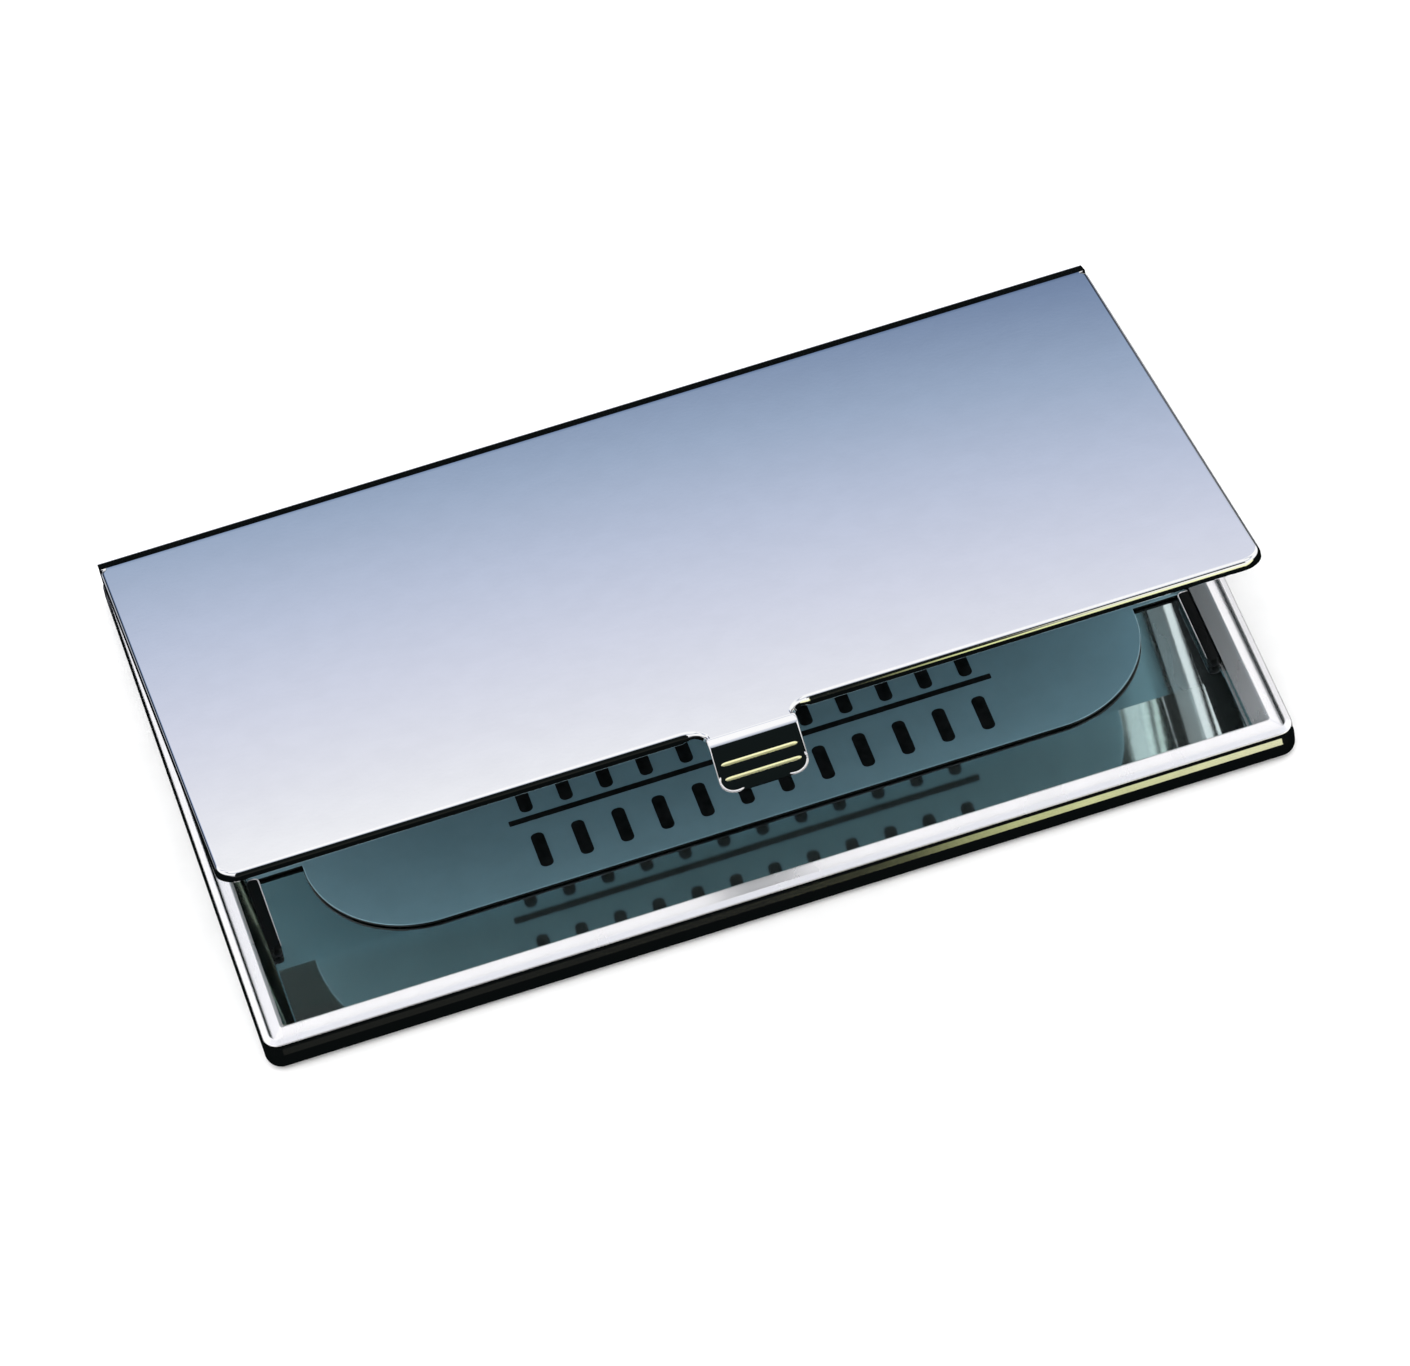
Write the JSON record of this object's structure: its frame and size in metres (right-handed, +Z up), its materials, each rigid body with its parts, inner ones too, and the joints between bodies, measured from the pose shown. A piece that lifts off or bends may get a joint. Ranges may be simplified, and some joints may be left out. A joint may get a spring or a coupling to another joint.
{
  "type": "business card case",
  "caption": "Flat metal case for business cards: a shallow lined tray, a sprung card plate, and a hinged lid with a thumb tab.",
  "frame": {"origin": "middle of the tray's footprint, on its underside", "axes": "+X along the hinge, +Y from the thumb tab to the hinge, +Z up"},
  "size_m": [0.094, 0.061, 0.0222],
  "materials": {
    "case_chrome": "polished, soft blue-grey sheen",
    "liner_chrome": "mirror polished",
    "plate_steel": "polished steel, slightly satin",
    "rail_metal": "dark polished",
    "hinge_metal": "drawn and polished"
  },
  "bodies": {
    "tray": {"base_shell": "case_chrome", "base_liner": "liner_chrome", "card_rail_left": "rail_metal", "card_rail_right": "rail_metal", "plate_clamp": "liner_chrome", "clamp_rivets": "hinge_metal", "hinge_leaf": "hinge_metal", "leaf_rivets": "hinge_metal", "hinge_pin": "hinge_metal", "pin_cap_left": "hinge_metal", "pin_cap_right": "hinge_metal"},
    "plate": {"card_plate": "plate_steel"},
    "lid": {"lid_shell": "case_chrome", "lid_liner": "plate_steel", "tab_grip": "case_chrome"}
  },
  "joints": [
    {"name": "lid_hinge", "type": "hinge", "parent": "tray", "child": "lid", "pos_m": [0, 0.0289, 0.00375], "axis": [-1, 0, 0], "range_deg": [-17, 103]},
    {"name": "plate_flex", "type": "hinge", "parent": "tray", "child": "plate", "pos_m": [0, 0.022, 0.0015], "axis": [-1, 0, 0], "range_deg": [0, 1.2], "stiffness_Nm_per_rad": 0.4, "springref_deg": -1.15}
  ]
}
